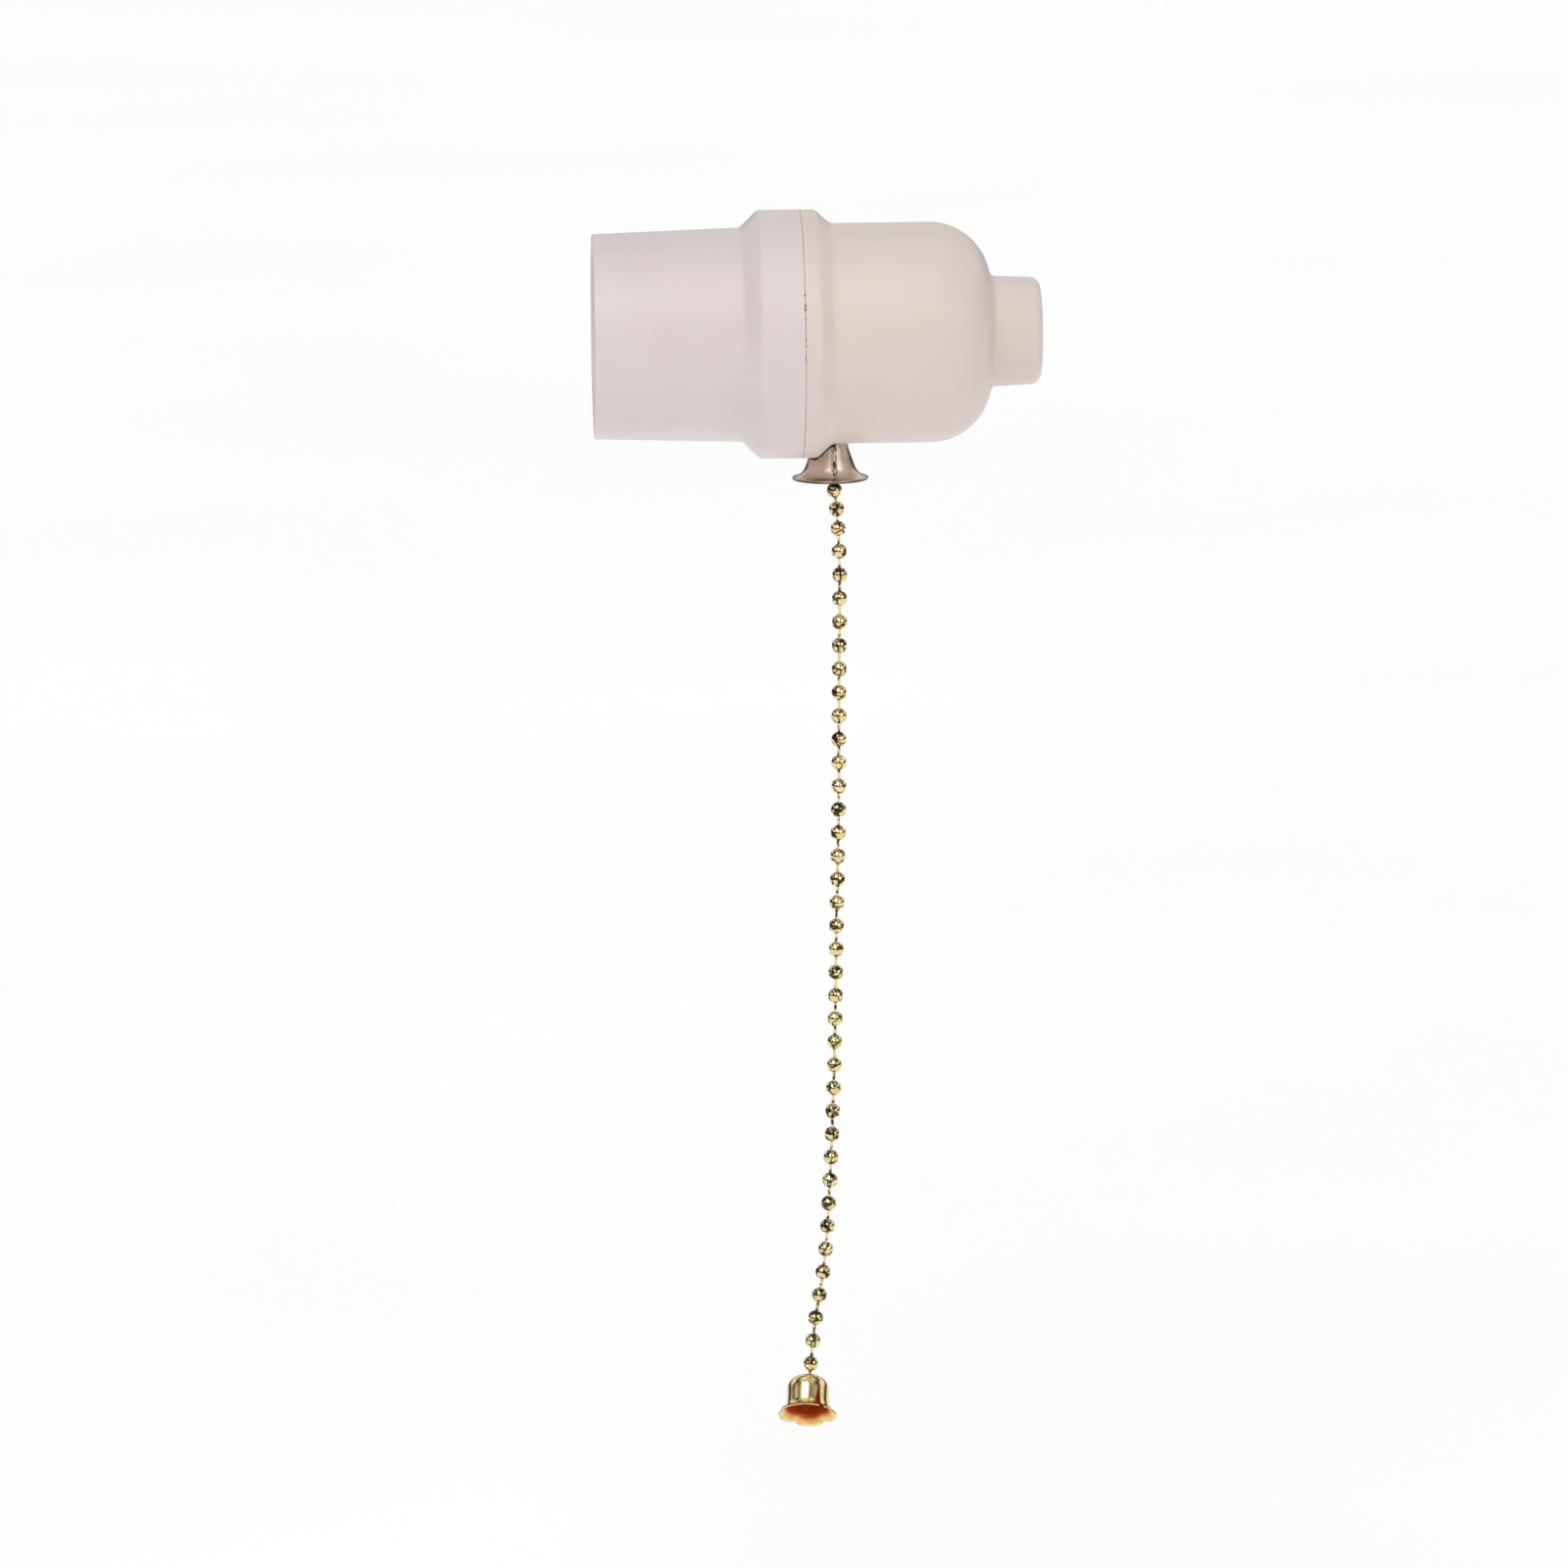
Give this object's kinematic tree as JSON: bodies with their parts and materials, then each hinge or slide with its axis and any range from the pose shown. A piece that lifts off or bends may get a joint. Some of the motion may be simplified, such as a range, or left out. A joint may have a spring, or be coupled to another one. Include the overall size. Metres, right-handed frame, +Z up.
{
  "type": "pull-chain lampholder",
  "caption": "Screw lampholder in two moulded plastic shells, with a ratchet switch worked by a hanging ball chain that ends in a petalled bell.",
  "frame": {"origin": "centre of the stem neck's end face, on the body axis", "axes": "+X along the body axis from the lamp mouth to the stem neck, +Z up, the chain hangs along -Z, -Y is the side with the guide's seam"},
  "size_m": [0.075, 0.0416, 0.2096],
  "materials": {
    "skirt_plastic": "smooth moulded, satin",
    "cap_plastic": "smooth moulded, satin",
    "phenolic": "moulded phenolic, dark brown",
    "black_plastic": "moulded",
    "brass": "stamped, polished",
    "chain_brass": "polished, gold-coloured",
    "bronze": "spring bronze",
    "nickel": "nickel plated, warm",
    "zinc_steel": "zinc plated",
    "spring_steel": "bright wire",
    "silver": "silver contact point"
  },
  "bodies": {
    "housing": {"skirt_shell": "skirt_plastic", "cap_shell": "cap_plastic", "neck_insert": "brass", "set_screw": "zinc_steel", "chain_guide": "nickel", "core_body": "phenolic", "core_cover": "phenolic", "core_screws": "zinc_steel", "screw_shell": "brass", "shell_screws": "zinc_steel", "centre_contact_foot": "brass", "centre_rivet": "brass", "neutral_strip": "brass", "line_contact_bar": "brass", "terminal_screws": "brass", "fixed_contact_point": "silver", "contact_leaf_foot": "bronze", "axle_pin": "zinc_steel", "axle_spacer": "brass"},
    "lamp_contact": {"centre_contact": "brass"},
    "leaf": {"contact_leaf": "bronze", "moving_contact_point": "silver"},
    "lever": {"pull_lever": "brass", "pawl": "spring_steel", "pawl_rivet": "zinc_steel", "return_spring": "spring_steel"},
    "rotor": {"ratchet_wheel": "zinc_steel", "switch_cam": "black_plastic"},
    "chain_top": {"chain_top_balls": "chain_brass", "chain_top_links": "chain_brass"},
    "chain_1": {"chain_1_balls": "chain_brass", "chain_1_links": "chain_brass"},
    "chain_2": {"chain_2_balls": "chain_brass", "chain_2_links": "chain_brass"},
    "chain_3": {"chain_3_balls": "chain_brass", "chain_3_links": "chain_brass"},
    "chain_4": {"chain_4_balls": "chain_brass", "chain_4_links": "chain_brass"},
    "bell": {"pull_bell": "chain_brass"}
  },
  "joints": [
    {"name": "chain_pull", "type": "slide", "parent": "housing", "child": "chain_top", "axis": [0, 0, -1], "range_m": [0, 0.008], "stiffness_N_per_m": 600, "springref_m": -0.004},
    {"name": "lever_swing", "type": "hinge", "parent": "housing", "child": "lever", "pos_m": [-0.0285, 0, -0.00075], "axis": [0, -1, 0], "range_deg": [0, 60], "deforming": ["return_spring"]},
    {"name": "ratchet_turn", "type": "hinge", "parent": "housing", "child": "rotor", "pos_m": [-0.0285, 0, -0.00075], "axis": [0, -1, 0], "range_deg": [0, 60]},
    {"name": "leaf_flex", "type": "hinge", "parent": "housing", "child": "leaf", "pos_m": [-0.0413, 0.00365, 0.0033], "axis": [0, -1, 0], "range_deg": [0, 4.1]},
    {"name": "lamp_contact_press", "type": "hinge", "parent": "housing", "child": "lamp_contact", "pos_m": [-0.0461, 0, -0.0019], "axis": [0, 1, 0], "range_deg": [0, 15], "stiffness_Nm_per_rad": 0.05},
    {"name": "chain_bend_1", "type": "hinge", "parent": "chain_top", "child": "chain_1", "pos_m": [-0.03505, 0, -0.02342], "axis": [0, 1, 0], "range_deg": [-16, 16]},
    {"name": "chain_bend_2", "type": "hinge", "parent": "chain_1", "child": "chain_2", "pos_m": [-0.03423, 0, -0.06155], "axis": [1, 0, 0], "range_deg": [-16, 16]},
    {"name": "chain_bend_3", "type": "hinge", "parent": "chain_2", "child": "chain_3", "pos_m": [-0.03501, 0, -0.10167], "axis": [0, 1, 0], "range_deg": [-16, 16]},
    {"name": "chain_bend_4", "type": "hinge", "parent": "chain_3", "child": "chain_4", "pos_m": [-0.03629, 0, -0.14179], "axis": [1, 0, 0], "range_deg": [-16, 16]},
    {"name": "bell_tilt", "type": "hinge", "parent": "chain_4", "child": "bell", "pos_m": [-0.04051, 0, -0.18131], "axis": [1, 0, 0], "range_deg": [-1, 64]}
  ],
  "couplings": [
    {"joint": "lever_swing", "follows": "chain_pull", "rad_per_m": 130.88},
    {"joint": "ratchet_turn", "follows": "chain_pull", "rad_per_m": 130.88},
    {"joint": "leaf_flex", "follows": "chain_pull", "rad_per_m": 8.923}
  ]
}
